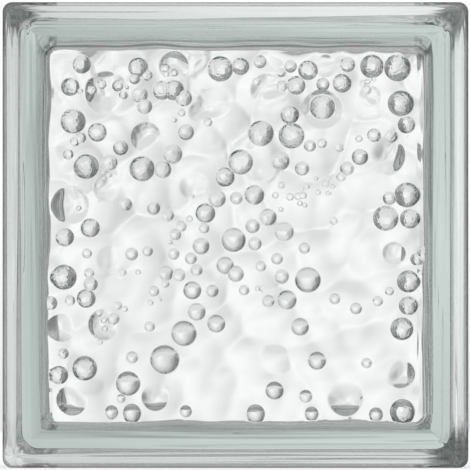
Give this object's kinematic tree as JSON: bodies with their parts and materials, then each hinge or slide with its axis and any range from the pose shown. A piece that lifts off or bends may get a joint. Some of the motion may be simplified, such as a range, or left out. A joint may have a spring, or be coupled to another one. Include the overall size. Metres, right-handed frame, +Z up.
{
  "type": "glass block",
  "caption": "Square hollow wall block of clear pressed glass, with a bubble relief inside its faces, lipped edges, a mortar recess all round and a fused seam.",
  "frame": {"origin": "middle of the underside, on the plane of the two bed lips", "axes": "+X along the width, +Y along the depth away from the front face, +Z up"},
  "size_m": [0.19, 0.08, 0.19],
  "materials": {
    "clear_glass": "gloss"
  },
  "bodies": {
    "root": {"glass_block": "clear_glass"}
  },
  "joints": []
}
